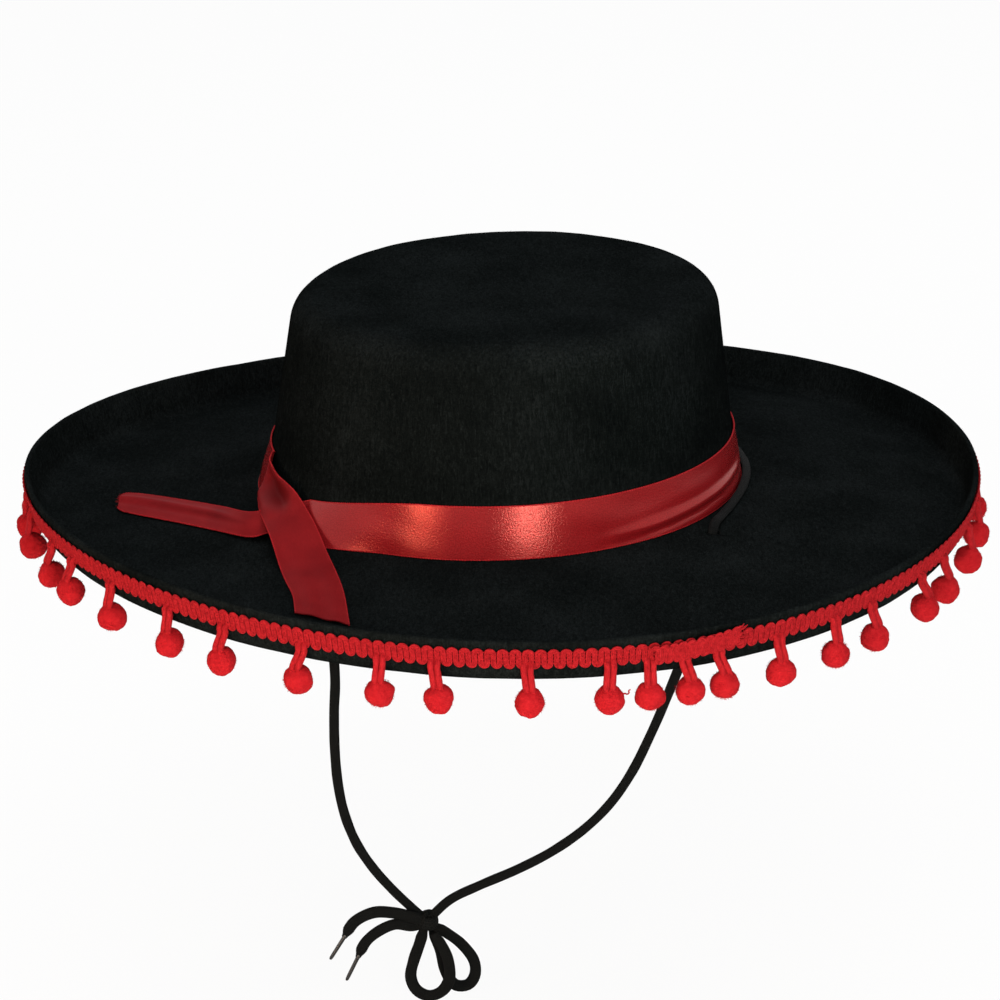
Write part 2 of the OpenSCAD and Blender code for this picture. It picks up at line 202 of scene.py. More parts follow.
class Shape:
    """Collects grids and spikes of one piece, with a UV map in metres where it is asked for."""

    def __init__(self):
        self.points, self.faces, self.uvs, self.count = [], [], [], 0

    def grid(self, pts, wrap=False, closed=False, caps=False, along=None, across=None):
        """Quads over pts[i, j]. wrap joins the last j to the first, closed the last i to the
        first. along and across are the UV values of i and j, one more where it wraps."""
        n, m = pts.shape[:2]
        i, j = np.meshgrid(np.arange(n - (not closed)), np.arange(m - (not wrap)), indexing="ij")
        i, j = i.ravel(), j.ravel()
        i2, j2 = (i + 1) % n, (j + 1) % m
        quads = np.stack([i * m + j, i2 * m + j, i2 * m + j2, i * m + j2], axis=1) + self.count
        along = np.arange(n + 1) if along is None else np.asarray(along)
        across = np.arange(m + 1) if across is None else np.asarray(across)
        corners = ((i, j), (i + 1, j), (i + 1, j + 1), (i, j + 1))
        uv = np.stack([np.stack([along[a], across[b]], axis=1) for a, b in corners], axis=1)
        self.faces += quads.tolist()
        self.uvs.append(uv.reshape(-1, 2))
        if caps:
            for row, flip in ((0, 1), (n - 1, -1)):
                self.faces.append([self.count + row * m + k for k in range(m)][::flip])
                self.uvs.append(np.tile([along[row], across[0]], (m, 1)))
        self.points.append(pts.reshape(-1, 3))
        self.count += n * m
        return self

    def spikes(self, roots, ways, lengths, radius):
        """Thin closed spikes, each a three-sided point."""
        n = len(roots)
        side = unit(np.cross(ways, rng.normal(size=(n, 3))))
        other = np.cross(ways, side)
        base = [roots + radius * (side * math.cos(a) + other * math.sin(a)) for a in (0, 2.1, 4.2)]
        tips = roots + ways * np.asarray(lengths).reshape(-1, 1)
        first = self.count + 4 * np.arange(n)
        for f in ((0, 1, 3), (1, 2, 3), (2, 0, 3), (2, 1, 0)):
            self.faces += np.stack([first + k for k in f], axis=1).tolist()
        self.uvs.append(np.zeros((12 * n, 2)))
        self.points.append(np.stack([*base, tips], axis=1).reshape(-1, 3))
        self.count += 4 * n
        return self

    def make(self, name, material, smooth_angle=50):
        mesh = bpy.data.meshes.new(name)
        mesh.from_pydata(np.concatenate(self.points).tolist(), [], self.faces)
        uv = mesh.uv_layers.new(name="UVMap")
        uv.data.foreach_set("uv", np.concatenate(self.uvs).ravel())
        bm = bmesh.new()
        bm.from_mesh(mesh)
        bmesh.ops.recalc_face_normals(bm, faces=bm.faces)
        bm.to_mesh(mesh)
        bm.free()
        mesh.shade_smooth()
        mesh.set_sharp_from_angle(angle=math.radians(smooth_angle))
        mesh.materials.append(material)
        obj = bpy.data.objects.new(name, mesh)
        bpy.context.scene.collection.objects.link(obj)
        return obj


def running(path):
    """How far along a path each of its points lies."""
    return np.concatenate([[0], np.cumsum(np.linalg.norm(np.diff(path, axis=0), axis=1))])


def catmull_rom(p, steps):
    """A smooth curve through p, with this many steps from each point to the next."""
    p = np.concatenate([2 * p[:1] - p[1:2], p, 2 * p[-1:] - p[-2:-1]])
    k = np.linspace(0, 1, steps, endpoint=False).reshape(-1, *[1] * (p.ndim - 1))
    rows = [
        0.5 * (2 * b + (c - a) * k + (2 * a - 5 * b + 4 * c - d) * k**2 + (3 * b - a - 3 * c + d) * k**3)
        for a, b, c, d in zip(p, p[1:], p[2:], p[3:])
    ]
    return np.concatenate([*rows, p[-2:-1]])


def smooth_path(points, step):
    """A smooth curve through points, with evenly spaced samples about step apart."""
    curve = catmull_rom(np.asarray(points, float), 24)
    run = running(curve)
    even = np.linspace(0, run[-1], max(3, round(run[-1] / step) + 1))
    return np.stack([np.interp(even, run, curve[:, a]) for a in range(3)], axis=1)


def run_length(path):
    return float(np.linalg.norm(np.diff(path, axis=0), axis=1).sum())


def frames(path, side):
    """Headings of a path, and two directions across it that turn as little as they can."""
    heading = unit(np.gradient(path, axis=0))
    a, rows = np.asarray(side, float), []
    for h in heading:
        a = unit(a - (a @ h) * h)
        rows.append(a)
    a = np.array(rows)
    return heading, a, np.cross(heading, a)


def sweep(shape, path, section, side, grow=None, twist=0.0, closed=False):
    """A tube along path. section holds points across it, grow a size at each path point, and
    twist turns it, in radians a metre."""
    _, a, b = frames(path, side)
    run = running(path)
    turn = (run * twist).reshape(-1, 1)
    a, b = a * np.cos(turn) + b * np.sin(turn), b * np.cos(turn) - a * np.sin(turn)
    grow = np.ones(len(path)) if grow is None else np.asarray(grow)
    s = section[None, :, :] * grow.reshape(-1, 1, 1)
    pts = path[:, None, :] + a[:, None, :] * s[:, :, :1] + b[:, None, :] * s[:, :, 1:]
    rim = running(np.vstack([section, section[:1]]))
    along = np.append(run, run[-1] + run[1])
    return shape.grid(pts, wrap=True, closed=closed, caps=not closed, along=along, across=rim)


def ring(radius, sides, lobes=0, depth=0.0):
    """A round section, with as many plies as lobes."""
    a = np.linspace(0, 2 * math.pi, sides, endpoint=False)
    r = radius * (1 - depth + depth * np.abs(np.cos(lobes * a / 2))) if lobes else radius
    return np.stack([r * np.cos(a), r * np.sin(a)], axis=1)


# ---- materials


def srgb(r, g, b):
    """The shader's colour for a colour given in 0 to 255 steps."""
    c = [v / 255 for v in (r, g, b)]
    return [*(v / 12.92 if v <= 0.04045 else ((v + 0.055) / 1.055) ** 2.4 for v in c), 1]


def add_node(tree, kind, out=0, **inputs):
    """A new node's output. Each input is a setting's name, a socket's name, or i and a
    socket's number, with a value or the output that feeds it."""
    node = tree.nodes.new(kind)
    for key, value in inputs.items():
        if hasattr(node, key):
            setattr(node, key, value)
            continue
        socket = node.inputs[int(key[1:])] if key[0] == "i" and key[1:].isdigit() else node.inputs[key]
        if isinstance(value, bpy.types.NodeSocket):
            tree.links.new(value, socket)
        else:
            socket.default_value = value
    return node.outputs[out]


class Nodes:
    """A short way to write a material's nodes."""

    def __init__(self, name, roughness, **sockets):
        self.material = bpy.data.materials.new(name)
        self.material.use_nodes = True
        self.tree = self.material.node_tree
        self.shader = self.tree.nodes["Principled BSDF"]
        self.shader.inputs["Roughness"].default_value = roughness
        for key, value in sockets.items():
            self.shader.inputs[key.replace("_", " ")].default_value = value

    def add(self, kind, out=0, **inputs):
        return add_node(self.tree, kind, out, **inputs)

    def link(self, socket, value):
        self.tree.links.new(value, self.shader.inputs[socket])

    def place(self, source="Object", scale=(1, 1, 1), turn=(0, 0, 0), shift=(0, 0, 0)):
        coords = self.add("ShaderNodeTexCoord", source)
        return self.add("ShaderNodeMapping", Vector=coords, Scale=scale, Rotation=turn, Location=shift)

    def noise(self, place, scale, detail=3, rough=0.6, distortion=0.0):
        return self.add(
            "ShaderNodeTexNoise",
            Vector=place, Scale=scale, Detail=detail, Roughness=rough, Distortion=distortion,
        )

    def wave(self, place, scale, distortion=0.0):
        return self.add("ShaderNodeTexWave", Vector=place, Scale=scale, Distortion=distortion)

    def math(self, operation, a, b=0.5, c=0.5):
        return self.add("ShaderNodeMath", operation=operation, i0=a, i1=b, i2=c)

    def ramp(self, factor, *stops):
        node = self.tree.nodes.new("ShaderNodeValToRGB")
        node.color_ramp.elements[0].position, node.color_ramp.elements[0].color = stops[0]
        node.color_ramp.elements[1].position, node.color_ramp.elements[1].color = stops[-1]
        for position, colour in stops[1:-1]:
            node.color_ramp.elements.new(position).color = colour
        self.tree.links.new(factor, node.inputs["Fac"])
        return node.outputs["Color"]

    def spread(self, value, low, high, start=0.0, stop=1.0, kind="LINEAR"):
        """low where value is start, high where it is stop, and between them elsewhere."""
        ends = {"From Min": start, "From Max": stop, "To Min": low, "To Max": high}
        return self.add("ShaderNodeMapRange", Value=value, interpolation_type=kind, **ends)

    def colour(self, value):
        self.link("Base Color", value)

    def rough(self, factor, low, high):
        self.link("Roughness", self.spread(factor, low, high))

    def bump(self, height, strength, distance):
        self.link("Normal", self.add("ShaderNodeBump", Height=height, Strength=strength, Distance=distance))


def felt_material():
    """Wool felt: short brushed fibres that lie down the crown, with cloudy patches, and painted shade that
    darkens the crown's wall.
    """
    n = Nodes("felt", 0.9, Specular_IOR_Level=0.0)
    lying = n.noise(n.place(scale=(1, 1, 0.16)), 1100, 4, 0.7, 1.2)
    cross = n.noise(n.place(scale=(1, 0.3, 1), turn=(0, 0, 0.5)), 900, 3, 0.65, 1.5)
    cloud = n.noise(n.place(), 26, 2, 0.5)
    fibre = n.math("MULTIPLY_ADD", lying, 0.6, n.math("MULTIPLY", cross, 0.4))
    shade = n.math("MULTIPLY_ADD", cloud, 0.2, n.math("MULTIPLY", fibre, 0.75))
    # Painted shade: the crown's wall, between about 18 and 79 mm up, is painted darker than the brim and
    # the crown's top
    level = n.add("ShaderNodeSeparateXYZ", 2, Vector=n.place())
    foot = n.spread(level, 0, 0.045, 18 * MM, 26 * MM)
    top = n.spread(level, 0, 0.045, 70 * MM, 79 * MM)
    shade = n.math("SUBTRACT", shade, n.math("SUBTRACT", foot, top))
    n.colour(n.ramp(shade, (0.285, srgb(4, 5, 6)), (0.445, srgb(14, 17, 17)), (0.645, srgb(33, 37, 38))))
    n.rough(fibre, 0.8, 1.0)
    n.bump(fibre, 0.6, 0.5 * MM)
    return n.material


def nap_material():
    n = Nodes("felt_nap", 0.9, Specular_IOR_Level=0.03)
    tone = n.noise(n.place(), 300, 2)
    n.colour(n.ramp(tone, (0.3, srgb(8, 8, 8)), (0.7, srgb(36, 37, 38))))
    return n.material


def tape_material():
    """Grosgrain: ribs across the tape."""
    n = Nodes("sweatband_tape", 0.75, Specular_IOR_Level=0.3, Sheen_Weight=0.1)
    ribs = n.wave(n.place("UV"), 260, 0.6)
    specks = n.noise(n.place("UV"), 2500, 2)
    n.colour(n.ramp(n.math("MULTIPLY_ADD", specks, 0.3, n.math("MULTIPLY", ribs, 0.7)),
                    (0.1, srgb(16, 16, 18)), (0.9, srgb(48, 48, 52))))
    n.bump(ribs, 0.5, 0.3 * MM)
    return n.material


def satin_weave(n):
    """The shade and the glints of satin. Its UV map runs along the ribbon and across it."""
    threads = n.wave(n.place("UV"), 900, 1.2)
    floats = n.noise(n.place("UV", scale=(0.12, 1, 1)), 3600, 3, 0.7)
    glints = n.noise(n.place("UV"), 1350, 1, 0.8)
    cloud = n.noise(n.place("UV"), 55, 2, 0.5)
    weave = n.math("MULTIPLY_ADD", threads, 0.3, n.math("MULTIPLY", floats, 0.5))
    shade = n.math("MULTIPLY_ADD", cloud, 0.35, n.math("MULTIPLY", weave, 0.6))
    return shade, weave, glints


def satin_material():
    """The ribbon's bright face. Light that its dyed floats reflect is red, so it is in part a
    metallic reflection, stretched across the floats."""
    n = Nodes(
        "red_satin", 0.24, Specular_IOR_Level=0.45, Specular_Tint=srgb(255, 205, 190),
        Anisotropic=0.6, Anisotropic_Rotation=0.25,
    )
    n.link("Tangent", n.add("ShaderNodeTangent", direction_type="UV_MAP", uv_map="UVMap"))
    shade, weave, glints = satin_weave(n)
    n.colour(n.ramp(shade, (0.2, srgb(126, 19, 24)), (0.5, srgb(154, 28, 33)), (0.8, srgb(173, 39, 41))))
    n.link("Metallic", n.spread(n.noise(n.place("UV"), 2100, 1, 0.6), 0.02, 0.4, 0.38, 0.62))
    n.rough(glints, 0.13, 0.23)
    n.bump(n.math("MULTIPLY_ADD", glints, 0.8, n.math("MULTIPLY", weave, 0.2)), 0.55, 0.15 * MM)
    return n.material


def satin_back_material(name, middle, reach, depth):
    """The ribbon's dull side, which shows at the crossing and on the two tails. A soft oval
    along it, given by its middle and reach in UV, is painted shade of a fold: its colour is
    darker towards the oval's middle, by depth at most."""
    n = Nodes(name, 0.6, Specular_IOR_Level=0.02)
    shade, weave, glints = satin_weave(n)
    plain = n.ramp(shade, (0.25, srgb(106, 19, 23)), (0.5, srgb(140, 29, 33)), (0.75, srgb(168, 43, 47)))
    scale, shift = (1 / reach[0], 1 / reach[1], 0), (-middle[0] / reach[0], -middle[1] / reach[1], 0)
    away = n.add("ShaderNodeVectorMath", 1, operation="LENGTH", i0=n.place("UV", scale, shift=shift))
    # Painted shade of a fold: the colour is scaled down inside the oval, most at its middle
    light = n.spread(away, 1 - depth, 1, kind="SMOOTHSTEP")
    n.colour(n.add("ShaderNodeVectorMath", operation="SCALE", i0=plain, Scale=light))
    n.bump(n.math("MULTIPLY_ADD", glints, 0.4, weave), 0.25, 0.1 * MM)
    return n.material


RED_SHEEN = {"Sheen_Weight": 0.08, "Sheen_Roughness": 0.4, "Sheen_Tint": srgb(235, 60, 60)}


def yarn_material(name, low, middle, high, scale, roughness=0.85):
    """Spun yarn: fine fibres that run along it, with darker clefts."""
    n = Nodes(name, roughness, Specular_IOR_Level=0.08, **RED_SHEEN)
    strands = n.noise(n.place("UV", scale=(0.25, 1, 1)), scale, 3, 0.7, 0.5)
    tufts = n.noise(n.place(), scale * 0.35, 3, 0.6)
    shade = n.math("MULTIPLY_ADD", tufts, 0.5, n.math("MULTIPLY", strands, 0.5))
    n.colour(n.ramp(shade, (0.32, low), (0.5, middle), (0.7, high)))
    n.rough(strands, roughness - 0.1, min(1, roughness + 0.1))
    n.bump(strands, 0.5, 0.25 * MM)
    return n.material


def pile_material():
    """A pompom's cut pile: the ends of many yarn fibres."""
    n = Nodes("pompom_pile", 0.9, Specular_IOR_Level=0.04, **RED_SHEEN)
    fine = n.noise(n.place(), 2600, 3, 0.75)
    tufts = n.noise(n.place(), 620, 2, 0.5)
    shade = n.math("MULTIPLY_ADD", tufts, 0.45, n.math("MULTIPLY", fine, 0.55))
    n.colour(n.ramp(shade, (0.3, srgb(152, 18, 26)), (0.5, srgb(172, 27, 34)), (0.72, srgb(184, 33, 39))))
    n.bump(fine, 0.6, 0.3 * MM)
    return n.material


def lace_material():
    """A flat woven lace: strands that cross in chevrons."""
    n = Nodes("black_lace", 0.8, Specular_IOR_Level=0.06)
    left = n.wave(n.place("UV", turn=(0, 0, 0.9)), 330, 0)
    right = n.wave(n.place("UV", turn=(0, 0, -0.9)), 330, 0)
    weave = n.math("MAXIMUM", left, right)
    fluff = n.noise(n.place("UV"), 1800, 3, 0.7)
    shade = n.math("MULTIPLY_ADD", fluff, 0.4, n.math("MULTIPLY", weave, 0.5))
    n.colour(n.ramp(shade, (0.25, srgb(5, 5, 6)), (0.6, srgb(15, 16, 16)), (0.85, srgb(31, 32, 33))))
    n.bump(n.math("MULTIPLY_ADD", fluff, 0.3, weave), 0.5, 0.25 * MM)
    return n.material


def tip_material():
    """Heat-shrunk plastic film with fine scratches along it."""
    n = Nodes("aglet_film", 0.28, Specular_IOR_Level=0.5, Coat_Weight=0.2)
    worn = n.noise(n.place("UV", scale=(0.1, 1, 1)), 1600, 3, 0.6)
    n.colour(n.ramp(worn, (0.35, srgb(9, 9, 10)), (0.8, srgb(34, 34, 36))))
    n.rough(worn, 0.2, 0.45)
    n.bump(worn, 0.2, 0.05 * MM)
    return n.material


FLOOR_GLOW = 0.94


def floor_material():
    """A pale floor that the camera sees as near white, with the object's shadow on it."""
    n = Nodes("floor", 0.9, Specular_IOR_Level=0.0, Base_Color=srgb(250, 250, 250))
    shown = n.add("ShaderNodeEmission", Color=(1, 1, 1, 1), Strength=1.0)
    seen = n.math("MULTIPLY", n.add("ShaderNodeLightPath"), FLOOR_GLOW)
    mixed = n.add("ShaderNodeMixShader", i0=seen, i1=n.shader.outputs[0], i2=shown)
    n.tree.links.new(mixed, n.tree.nodes["Material Output"].inputs["Surface"])
    return n.material


FELT_MAT, NAP_MAT, TAPE_MAT = felt_material(), nap_material(), tape_material()
SATIN_MAT = satin_material()
# Each dull side has a painted fold shade, given as the oval's middle, reach and depth
LEFT_TAIL_MAT = satin_back_material("red_satin_left", (42 * MM, 30 * MM), (36 * MM, 3 * MM), 0.35)
CROSSING_MAT = satin_back_material("red_satin_front", (24 * MM, 27 * MM), (30 * MM, 9 * MM), 0.42)
BRAID_MAT = yarn_material("braid_yarn", srgb(116, 12, 18), srgb(154, 23, 30), srgb(176, 34, 41), 2200)
EDGE_MAT = yarn_material("ribbon_edge", srgb(140, 20, 26), srgb(168, 32, 38), srgb(190, 50, 54), 2600)
LOOP_MAT = yarn_material("loop_yarn", srgb(128, 14, 21), srgb(160, 24, 31), srgb(178, 34, 41), 1800)
PILE_MAT, LACE_MAT, TIP_MAT = pile_material(), lace_material(), tip_material()


# ---- camera


def make_camera():
    """The camera stands in front, 19 degrees above level, with a long lens and a slight roll."""
    look = np.array([-0.9, 0, -8.1]) * MM
    distance, elevation, roll = 1.5006, math.radians(18.91), math.radians(-2.03)
    back = np.array([0, -math.cos(elevation), math.sin(elevation)])
    up = np.array([0, math.sin(elevation), math.cos(elevation)])
    across = np.array([1, 0, 0])
    right = across * math.cos(roll) + up * math.sin(roll)
    over = up * math.cos(roll) - across * math.sin(roll)
    data = bpy.data.cameras.new("camera")
    data.sensor_width, data.lens = 36, 134.2
    data.clip_start, data.clip_end = 0.05, 50
    camera = bpy.data.objects.new("camera", data)
    bpy.context.scene.collection.objects.link(camera)
    turn = Matrix([[right[k], over[k], back[k]] for k in range(3)]).to_4x4()
    camera.matrix_world = Matrix.Translation(look + back * distance) @ turn
    bpy.context.scene.camera = camera


make_camera()


# ---- cords


def settle(piece, slot, body, *nodes):
    """Hides the nodes that a piece replaces and sets it on the body that it rides. Its slot is not used."""
    if nodes:
        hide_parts(*nodes)
    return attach(piece, body)


HOLES = np.array([[80, -72], [-76, -79]]) * MM
HINGE_Z = -4.6 * MM
HINGE = np.array([[79.8 * MM, -72.7 * MM, HINGE_Z], [-75.9 * MM, -79.7 * MM, HINGE_Z]])
LACE_STEP = 13
LACE_OUT = 4 * MM
LACE_Z = FELT + GAP + LACE_T / 2 - 0.3 * MM
LACE_BEND_R, LACE_ARCH = 2 * LACE_W, 1.2 * MM
# Headings in which the lace runs from each hole on to the brim
RIGHT_WAY, LEFT_WAY = (-7, -20), (4, -20)
KNOT = (-35.5, -156)
# Each leg from its hole to the knot, as x and z in the plane that hangs from the two holes,
# and each tail and loop with its distance forward of that plane, in millimetres
LEFT_LEG = [
    (-74.5, -14), (-70.5, -26), (-67.5, -39), (-67, -52), (-68, -65), (-68.5, -80), (-68, -95),
    (-66, -108.5), (-62, -121), (-56, -132), (-49, -141.5), (-42.5, -149), (-36.5, -155.5),
]
RIGHT_LEG = [
    (77, -22), (70, -44), (61, -67), (54, -83), (47, -97), (38.5, -109.5), (28, -120), (15, -129),
    (1, -136), (-14, -142), (-26, -147.5), (-35, -155.5),
]
UPPER_TAIL = [(-42, -152.5, 3), (-49, -150, 4), (-56.5, -149.5, 4), (-64, -153, 4), (-68.5, -159.5, 4)]
LOWER_TAIL = [(-41.5, -157.5, 1), (-48, -155.5, 3), (-54.5, -157.5, 4), (-60, -162, 4), (-63.5, -168.5, 4)]
LEFT_LOOP = [
    (-37, -160, -1), (-39, -166, 0), (-41.5, -172.5, 1), (-43, -179, 2), (-41, -184.5, 3),
    (-36, -187, 4), (-30.5, -185, 4), (-27.5, -179, 4), (-28.5, -169.5, 4), (-33, -160.5, 3),
]
RIGHT_LOOP = [
    (-33.5, -158.5, -1), (-28, -163, -2), (-22.5, -168.5, -3), (-18, -175.5, -3),
    (-17.5, -182, -3), (-20.5, -186.5, -3), (-26, -186, -3), (-29.5, -179, -3), (-31, -170.5, -3),
    (-34, -161, -4),
]


def hang(x, z, forward=0.0):
    """A point of the plane that hangs from the hinge line."""
    a, b = HINGE
    y = mix(a[1], b[1], (x * MM - a[0]) / (b[0] - a[0]))
    return np.array([x * MM, y - forward * MM, z * MM])


def hole_arc(hole, way, n=4):
    """The lace from a hole up over the brim."""
    way = unit(way)
    top = brim_point(*hole, 0)[2] + GAP + LACE_T / 2 + LACE_ARCH
    back = LACE_BEND_R * math.sin(math.radians(62))
    rows = []
    for i in range(n + 1):
        a = math.radians(78 * (1 - i / n))
        x, y = hole + way * (LACE_BEND_R * math.sin(a) - back)
        rows.append([x, y, top - LACE_BEND_R * (1 - math.cos(a))])
    return rows


def flat_lace():
    """A flat section, as shares of its width, with a furrow down each face."""
    a = np.linspace(0, 2 * math.pi, 20, endpoint=False)
    furrow = 1 - 0.22 * np.exp(-((np.cos(a) / 0.3) ** 2))
    return np.stack([np.cos(a) / 2, LACE_T / LACE_W / 2 * np.sin(a) * furrow], axis=1)


def make_lace(name, path, side, width=LACE_W, ends=(1.0, 1.0)):
    """One stretch of the lace, swept as a flat tube along its path. Its weave swells a little
    from place to place, and ends are its sizes at its two ends."""
    run = np.linspace(0, 1, len(path)) * run_length(path)
    short = 4 * MM
    start, end = ease(run / short), ease((run[-1] - run) / short)
    grow = width * np.minimum(mix(ends[0], 1, start), mix(ends[1], 1, end))
    grow = grow * np.array([1 + 0.07 * noise.noise(Vector(p) * 140) for p in path])
    lace = sweep(Shape(), path, flat_lace(), side, grow=grow).make(name, LACE_MAT)
    return lace


def make_tip(name, path):
    """A lace tip: a slim film tube with a lap seam, pinched at its end."""
    radius = 0.8 * MM
    way = unit(path[-1] - path[-2])
    run = np.array([-1.2, -0.8, -0.2, 0.6, 3, 6, 9, 10.2, 10.8, 11]) * MM
    grow = np.array([0.86, 1, 1.02, 0.97, 0.95, 0.93, 0.9, 0.82, 0.6, 0.3])
    a = np.linspace(0, 2 * math.pi, 20, endpoint=False)
    lap = radius * (1 + 0.09 * np.clip(a / 1.2, 0, 1) * (a < 4.2))
    section = np.stack([lap * np.cos(a), lap * np.sin(a)], axis=1)
    centre = path[-1] + way * run.reshape(-1, 1)
    tip = sweep(Shape(), centre, section, (0, 1, 0), grow=grow).make(name, TIP_MAT)
    return settle(tip, "black_aglet", "chin_lace", "aglet_" + name.split("_")[-1])


def make_knot():
    """The bow's knot: the lace wrapped round itself."""
    centre, tilt = hang(*KNOT), Matrix.Rotation(math.radians(35), 3, "Y")
    shape = Shape()
    turns = ((0, 0, 0, 3.5), (38, 20, 0.8, 3.4), (-34, -30, -0.8, 3.3), (80, 10, 0.2, 2.6))
    for lean, roll, shift, radius in turns:
        turn = tilt
        for angle, axis in ((lean, "X"), (roll, "Y")):
            turn = turn @ Matrix.Rotation(math.radians(angle), 3, axis)
        a = np.linspace(0, 2 * math.pi, 40, endpoint=False)
        flat = np.stack([radius * MM * np.cos(a), radius * MM * np.sin(a), np.full(40, shift * MM)], axis=1)
        path = centre + flat @ np.array(turn).T
        axis = np.array(turn @ Vector((0, 0, 1)))
        sweep(shape, path, flat_lace() * LACE_W, axis, closed=True)
    return settle(shape.make("bow_knot_wraps", LACE_MAT), "black_lace", "chin_lace", "bow_knot")


def make_leg(name, hole, way, top, leg):
    """A leg of the chin lace, from its hole down to the knot."""
    path = smooth_path([hole_arc(hole, way)[1], top, *(hang(*p) for p in leg)], 1.6 * MM)
    piece = make_lace("lace_leg_" + name, path, (1, 0, 0), LEG_W)
    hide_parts("lace_" + name)
    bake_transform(piece)


def make_chin_lace():
    """The two legs of the lace with the bow between them, and the stretch round the crown."""
    knot = make_knot()
    make_leg("left", HOLES[1], LEFT_WAY, HINGE[1], LEFT_LEG)
    make_leg("right", HOLES[0], RIGHT_WAY, HINGE[0], RIGHT_LEG)
    for name, tail in (("left", UPPER_TAIL), ("right", LOWER_TAIL)):
        path = smooth_path([hang(*KNOT, tail[0][2] / 2), *(hang(*p) for p in tail)], 1.2 * MM)
        tip = make_tip("lace_tip_" + name, path)
        piece = make_lace(
            "lace_tail_" + name, path, (0, 0, 1), BOW_W, (0.8, 0.45)
        )
        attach(piece, "chin_lace")
    for name, points in (("left", LEFT_LOOP), ("right", RIGHT_LOOP)):
        path = smooth_path([hang(*p) for p in points], 1.2 * MM)
        loop = make_lace("bow_loop_" + name, path, (1, 0, 0), BOW_W, (0.7, 0.7))
        if name == "left":
            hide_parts("bow_loops")
        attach(loop, "chin_lace")
    t = np.radians(np.arange(-14, 195, LACE_STEP))
    out = LACE_OUT - 1.9 * MM * ease((np.degrees(t) - 150) / 25)
    points = [
        *hole_arc(HOLES[0], RIGHT_WAY),
        brim_mm(84.7, -57.9, 1.25), brim_mm(90, -43.6, 1.25),
        *wall_point(t, LACE_Z, out),
        brim_mm(-91, -38, 1.25), brim_mm(-85, -51, 1.25),
        *hole_arc(HOLES[1], LEFT_WAY)[::-1],
    ]
    path = smooth_path(points, 2.4 * MM)
    piece = make_lace("lace_round", path, (1, 0, 0))
    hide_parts("lace_round_crown")
    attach(piece, "hat")


make_chin_lace()


# ---- felt

TURNS = 256


def felt_profile():
    """The middle of the felt from the crown's centre to the rim's edge."""
    wall = math.atan2(Z_FOOT - Z_TOP, FOOT_HALF - TOP_HALF)
    brim = math.atan2(BEND_Z - Z_FOOT, BEND_CORNER[0] - FOOT_HALF)
    inner = [(TOP_HALF * k, Z_TOP, 0.0) for k in (0.02, 0.12, 0.25, 0.4, 0.55, 0.7)]
    return np.array([
        *inner,
        *corner(TOP_CORNER, 0, wall, CROWN_EDGE_R - FELT / 2, 14),
        *straight(TOP_CORNER + (FOOT_CORNER - TOP_CORNER) * 0.12, FOOT_CORNER, wall, 14),
        *corner(FOOT_CORNER, wall, brim, CROWN_FOOT_R + FELT / 2, 7),
        *straight(FOOT_CORNER, BEND_CORNER, brim, 18)[:-1],
        *corner(BEND_CORNER, brim, RIM_ANGLE, RIM_BEND_R, 14),
        *straight(BEND_CORNER, RIM_EDGE, RIM_ANGLE, 7)[2:],
        (*(RIM_EDGE - 0.7 * MM * np.array([math.cos(RIM_ANGLE), math.sin(RIM_ANGLE)])), RIM_ANGLE),
    ])


def waver(points, size, scale):
    """Small uneven waves, as pressed felt has."""
    return np.array([size * noise.noise(Vector(p) * scale) for p in points])


def make_felt():
    profile = felt_profile()
    t = np.linspace(0, 2 * math.pi, TURNS, endpoint=False)
    edge = []
    for a in np.linspace(0, math.pi, 7)[1:-1]:
        past = 0.7 * MM * math.sin(a)
        w = profile[-1][0] + past * math.cos(RIM_ANGLE)
        z = profile[-1][1] + past * math.sin(RIM_ANGLE)
        edge.append(felt_point(w, z, RIM_ANGLE, FELT / 2 * math.cos(a), t))
    upper = [felt_point(*p, FELT / 2, t) for p in profile]
    under = [felt_point(*p, -FELT / 2, t) for p in profile]
    rings = np.array([*upper, *edge, *under[::-1]])
    flat = rings.reshape(-1, 3)
    wave = waver(flat * [1, 1, 0.4], 0.22 * MM, 38) + waver(flat * [1, 1, 0.3] + 3, 0.12 * MM, 110)
    flat[:, 2] += wave
    felt = Shape().grid(rings, wrap=True, caps=True).make("felt", FELT_MAT, 60)
    for hole in HOLES:
        bpy.ops.mesh.primitive_cylinder_add(
            vertices=40, radius=LACE_HOLE_R, depth=2 * BRIM_DROP, location=(*hole, Z_FOOT)
        )
        punch = bpy.context.object
        cut = felt.modifiers.new("hole", "BOOLEAN")
        cut.object, cut.solver = punch, "EXACT"
        bpy.context.view_layer.objects.active = felt
        bpy.ops.object.modifier_apply(modifier=cut.name)
        bpy.data.objects.remove(punch)
    settle(felt, "black_felt", "hat", "felt_body")


def make_nap():
    """Loose fibres that stand off the felt along its edges and folds."""
    shape, profile = Shape(), felt_profile()
    kinds = (
        (1500, len(profile) - 1, 0.5, 1.0),
        (900, len(profile) - 1, 0.5, -1.0),
        (900, 12, 2.5, 1.0),
        (800, 26, 8.0, 1.0),
        (900, len(profile) - 14, 3.0, -1.0),
        (900, len(profile) - 30, 9.0, 1.0),
    )
    for count, row, spread, face in kinds:
        rows = np.clip(np.round(rng.normal(row, spread, count)), 0, len(profile) - 1).astype(int)
        t = rng.uniform(0, 2 * math.pi, count)
        w, z, heading = profile[rows].T
        root = felt_point(w, z, heading, face * (FELT / 2 - 0.05 * MM), t)
        out = unit(felt_point(w, z, heading, face * FELT, t) - root)
        lie = unit(np.cross(out, rng.normal(size=(count, 3))))
        way = unit(out * rng.uniform(0.15, 0.7, (count, 1)) + lie)
        shape.spikes(root, way, rng.uniform(0.5, 1.5, count) * MM, 0.03 * MM)
    settle(shape.make("felt_nap", NAP_MAT), "black_felt", "hat")


